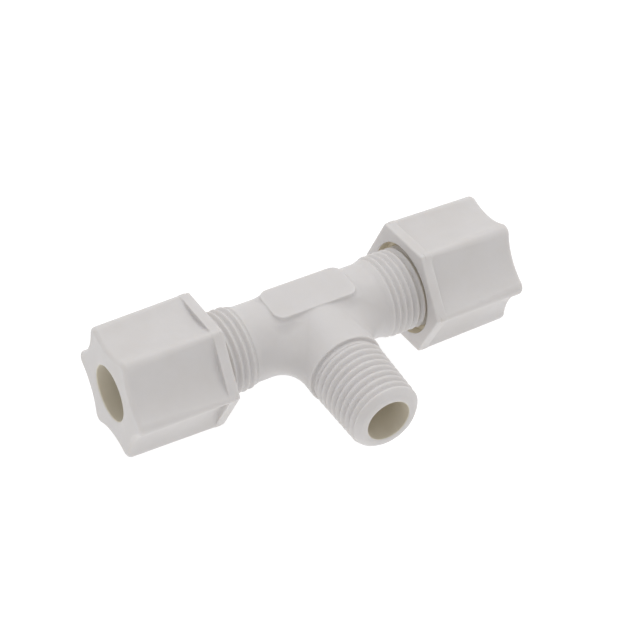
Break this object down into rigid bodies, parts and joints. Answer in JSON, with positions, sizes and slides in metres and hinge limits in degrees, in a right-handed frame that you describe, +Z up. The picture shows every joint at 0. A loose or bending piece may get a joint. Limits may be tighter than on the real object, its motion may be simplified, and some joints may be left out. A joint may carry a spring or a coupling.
{
  "type": "compression tube tee fitting",
  "caption": "Compression tee for plastic tube: fluted hex nuts on a straight run, a tapered male pipe thread on the branch, grip rings and sealing sleeves inside the nuts.",
  "frame": {"origin": "where the run's axis meets the branch's axis", "axes": "+X along the run, the branch points to -Y, +Z up through the flat pad on the body"},
  "size_m": [0.076, 0.0391, 0.0218],
  "materials": {
    "body_plastic": "natural white moulded polypropylene, satin",
    "nut_plastic": "natural white moulded polypropylene, satin",
    "ring_plastic": "white moulded acetal, satin"
  },
  "bodies": {
    "tee_body": {"tee_body": "body_plastic"},
    "right_nut": {"right_nut": "nut_plastic"},
    "right_gripper": {"right_gripper": "ring_plastic"},
    "right_sleeve": {"right_sleeve": "ring_plastic"},
    "left_nut": {"left_nut": "nut_plastic"},
    "left_gripper": {"left_gripper": "ring_plastic"},
    "left_sleeve": {"left_sleeve": "ring_plastic"}
  },
  "joints": [
    {"name": "right_gripper_travel", "type": "slide", "parent": "tee_body", "child": "right_gripper", "axis": [1, 0, 0], "range_m": [-0.00446, 0.0035]},
    {"name": "right_nut_turn", "type": "hinge", "parent": "right_gripper", "child": "right_nut", "pos_m": [0.02879, 0, 0], "axis": [1, 0, 0], "range_deg": [-1260, 990]},
    {"name": "right_sleeve_travel", "type": "slide", "parent": "tee_body", "child": "right_sleeve", "axis": [1, 0, 0], "range_m": [-0.00446, 0.0035]},
    {"name": "left_gripper_travel", "type": "slide", "parent": "tee_body", "child": "left_gripper", "axis": [-1, 0, 0], "range_m": [-0.00446, 0.0035]},
    {"name": "left_nut_turn", "type": "hinge", "parent": "left_gripper", "child": "left_nut", "pos_m": [-0.02879, 0, 0], "axis": [-1, 0, 0], "range_deg": [-1260, 990]},
    {"name": "left_sleeve_travel", "type": "slide", "parent": "tee_body", "child": "left_sleeve", "axis": [-1, 0, 0], "range_m": [-0.00446, 0.0035]}
  ],
  "couplings": [
    {"joint": "right_gripper_travel", "follows": "right_nut_turn", "m_per_rad": 0.00020213},
    {"joint": "right_sleeve_travel", "follows": "right_nut_turn", "m_per_rad": 0.00020213},
    {"joint": "left_gripper_travel", "follows": "left_nut_turn", "m_per_rad": 0.00020213},
    {"joint": "left_sleeve_travel", "follows": "left_nut_turn", "m_per_rad": 0.00020213}
  ]
}
